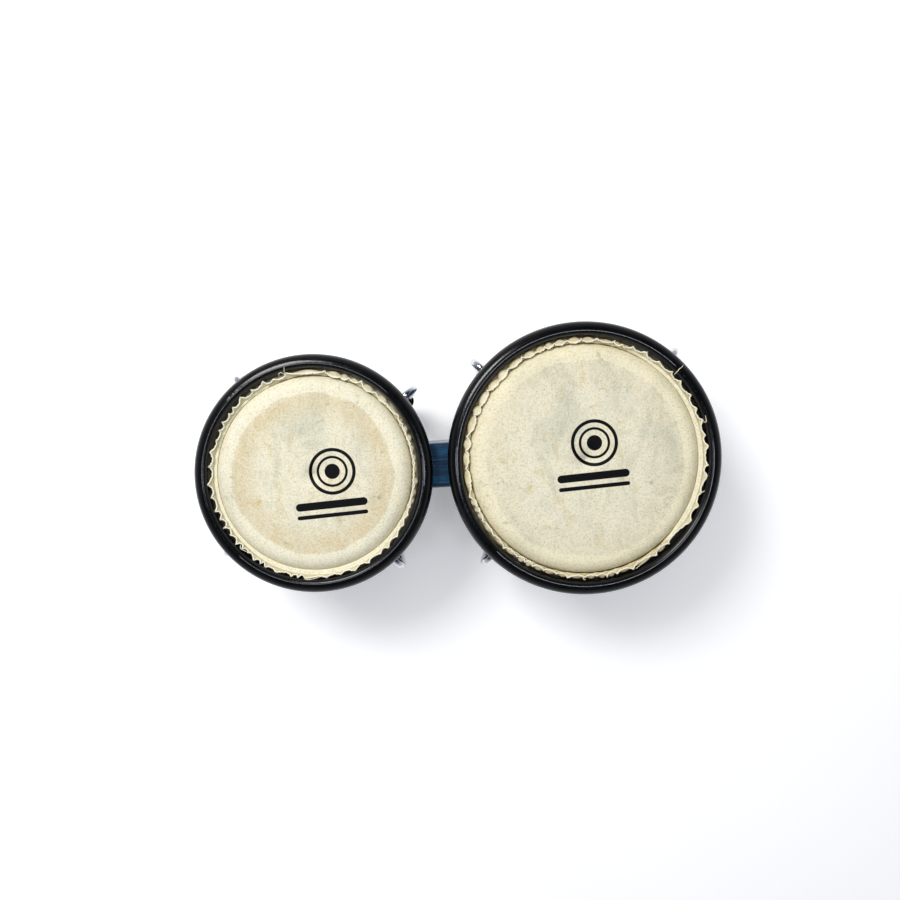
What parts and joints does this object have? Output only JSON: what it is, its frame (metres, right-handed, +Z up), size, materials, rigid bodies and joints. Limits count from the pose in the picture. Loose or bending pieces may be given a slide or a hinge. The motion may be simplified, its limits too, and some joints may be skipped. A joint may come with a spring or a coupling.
{
  "type": "bongo drums",
  "caption": "Small and large tapered wooden hand drums bolted to a centre block, with rawhide heads and black steel rims tuned by chromed hooks.",
  "frame": {"origin": "under the middle of the overall length and width, on the floor (Z = 0)", "axes": "+Z up along both drums' axes, +X from the small drum to the large drum, +Y across the pair"},
  "size_m": [0.4982, 0.2582, 0.17],
  "materials": {
    "rawhide": "satin",
    "black_steel": "satin black powder coat",
    "chromed_steel": "polished",
    "stained_wood": "blue stain under gloss lacquer",
    "zinc_steel": "zinc plated",
    "bare_steel": "drawn steel rod"
  },
  "bodies": {
    "root": {"centre_block": "stained_wood", "hembra_band_ears": "black_steel", "hembra_block_washers": "zinc_steel", "hembra_foot_band": "black_steel", "hembra_shell": "stained_wood", "hembra_skin": "rawhide", "hembra_skin_edge": "rawhide", "hembra_tuning_washers": "chromed_steel", "lower_block_bolt": "zinc_steel", "lower_block_nut": "zinc_steel", "macho_band_ears": "black_steel", "macho_block_washers": "zinc_steel", "macho_foot_band": "black_steel", "macho_shell": "stained_wood", "macho_skin": "rawhide", "macho_skin_edge": "rawhide", "macho_tuning_washers": "chromed_steel", "upper_block_bolt": "zinc_steel", "upper_block_nut": "zinc_steel"},
    "macho_rim": {"macho_rim": "black_steel", "macho_side_plates": "black_steel", "macho_flesh_hoop": "bare_steel", "macho_skin_tuck": "rawhide", "macho_hook_1": "chromed_steel", "macho_hook_2": "chromed_steel", "macho_hook_3": "chromed_steel", "macho_hook_4": "chromed_steel"},
    "macho_tuning_nut_1": {"macho_tuning_nut_1": "chromed_steel"},
    "macho_tuning_nut_2": {"macho_tuning_nut_2": "chromed_steel"},
    "macho_tuning_nut_3": {"macho_tuning_nut_3": "chromed_steel"},
    "macho_tuning_nut_4": {"macho_tuning_nut_4": "chromed_steel"},
    "hembra_rim": {"hembra_rim": "black_steel", "hembra_side_plates": "black_steel", "hembra_flesh_hoop": "bare_steel", "hembra_skin_tuck": "rawhide", "hembra_hook_1": "chromed_steel", "hembra_hook_2": "chromed_steel", "hembra_hook_3": "chromed_steel", "hembra_hook_4": "chromed_steel"},
    "hembra_tuning_nut_1": {"hembra_tuning_nut_1": "chromed_steel"},
    "hembra_tuning_nut_2": {"hembra_tuning_nut_2": "chromed_steel"},
    "hembra_tuning_nut_3": {"hembra_tuning_nut_3": "chromed_steel"},
    "hembra_tuning_nut_4": {"hembra_tuning_nut_4": "chromed_steel"}
  },
  "joints": [
    {"name": "macho_tuning", "type": "slide", "parent": "root", "child": "macho_rim", "axis": [0, 0, -1], "range_m": [-0.0022, 0.002]},
    {"name": "macho_nut_1_turn", "type": "hinge", "parent": "root", "child": "macho_tuning_nut_1", "pos_m": [-0.05321, 0.06468, 0.03997], "axis": [0.1638, 0.128, 0.9781], "range_deg": [-633.6, 576]},
    {"name": "macho_nut_2_turn", "type": "hinge", "parent": "root", "child": "macho_tuning_nut_2", "pos_m": [-0.20068, 0.08278, 0.03997], "axis": [-0.128, 0.1638, 0.9781], "range_deg": [-633.6, 576]},
    {"name": "macho_nut_3_turn", "type": "hinge", "parent": "root", "child": "macho_tuning_nut_3", "pos_m": [-0.21879, -0.06468, 0.03997], "axis": [-0.1638, -0.128, 0.9781], "range_deg": [-633.6, 576]},
    {"name": "macho_nut_4_turn", "type": "hinge", "parent": "root", "child": "macho_tuning_nut_4", "pos_m": [-0.07132, -0.08278, 0.03997], "axis": [0.128, -0.1638, 0.9781], "range_deg": [-633.6, 576]},
    {"name": "hembra_tuning", "type": "slide", "parent": "root", "child": "hembra_rim", "axis": [0, 0, -1], "range_m": [-0.0022, 0.002]},
    {"name": "hembra_nut_1_turn", "type": "hinge", "parent": "root", "child": "hembra_tuning_nut_1", "pos_m": [0.2056, 0.0856, 0.03997], "axis": [0.147, 0.147, 0.9781], "range_deg": [-633.6, 576]},
    {"name": "hembra_nut_2_turn", "type": "hinge", "parent": "root", "child": "hembra_tuning_nut_2", "pos_m": [0.0344, 0.0856, 0.03997], "axis": [-0.147, 0.147, 0.9781], "range_deg": [-633.6, 576]},
    {"name": "hembra_nut_3_turn", "type": "hinge", "parent": "root", "child": "hembra_tuning_nut_3", "pos_m": [0.0344, -0.0856, 0.03997], "axis": [-0.147, -0.147, 0.9781], "range_deg": [-633.6, 576]},
    {"name": "hembra_nut_4_turn", "type": "hinge", "parent": "root", "child": "hembra_tuning_nut_4", "pos_m": [0.2056, -0.0856, 0.03997], "axis": [0.147, -0.147, 0.9781], "range_deg": [-633.6, 576]}
  ],
  "couplings": [
    {"joint": "macho_nut_1_turn", "follows": "macho_tuning", "rad_per_m": 5026.5},
    {"joint": "macho_nut_2_turn", "follows": "macho_tuning", "rad_per_m": 5026.5},
    {"joint": "macho_nut_3_turn", "follows": "macho_tuning", "rad_per_m": 5026.5},
    {"joint": "macho_nut_4_turn", "follows": "macho_tuning", "rad_per_m": 5026.5},
    {"joint": "hembra_nut_1_turn", "follows": "hembra_tuning", "rad_per_m": 5026.5},
    {"joint": "hembra_nut_2_turn", "follows": "hembra_tuning", "rad_per_m": 5026.5},
    {"joint": "hembra_nut_3_turn", "follows": "hembra_tuning", "rad_per_m": 5026.5},
    {"joint": "hembra_nut_4_turn", "follows": "hembra_tuning", "rad_per_m": 5026.5}
  ]
}
